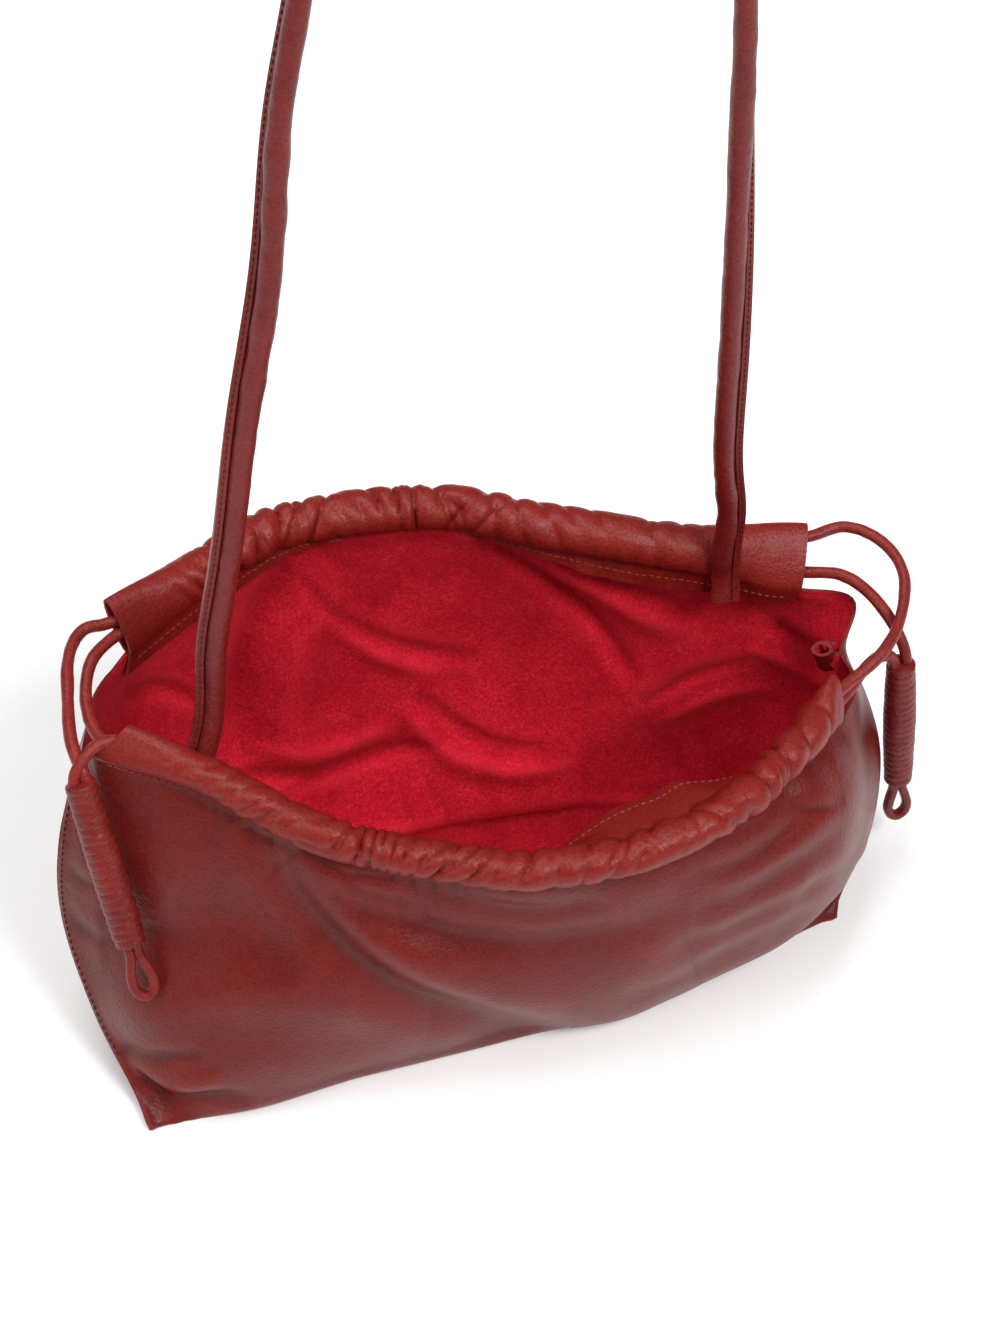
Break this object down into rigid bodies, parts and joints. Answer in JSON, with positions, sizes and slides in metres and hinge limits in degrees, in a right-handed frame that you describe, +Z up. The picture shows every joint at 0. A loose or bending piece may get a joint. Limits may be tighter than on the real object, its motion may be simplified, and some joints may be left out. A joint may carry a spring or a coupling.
{
  "type": "kinchaku drawstring pouch",
  "caption": "Soft leather drawstring pouch with gathered casings, draw cords ending in wound toggles, an open mouth, suede inside and a long rolled shoulder strap.",
  "frame": {"origin": "on the surface that the pouch stands on, near the middle of its flattened underside", "axes": "+Z up, -Y towards the front, +X to the right seen from the front"},
  "size_m": [0.3681, 0.1927, 0.6271],
  "materials": {
    "panel_leather": "soft smooth nappa outside, suede inside",
    "cord_leather": "soft rolled nappa",
    "wound_leather": "narrow wound strip",
    "strap_leather": "soft nappa with an edge stitch"
  },
  "bodies": {
    "root": {"front_panel": "panel_leather", "back_panel": "panel_leather", "drawcord_left": "cord_leather", "drawcord_right": "cord_leather", "toggle_wrap_left": "wound_leather", "toggle_wrap_right": "wound_leather", "toggle_loop_left": "wound_leather", "toggle_loop_right": "wound_leather", "strap": "strap_leather"}
  },
  "joints": []
}
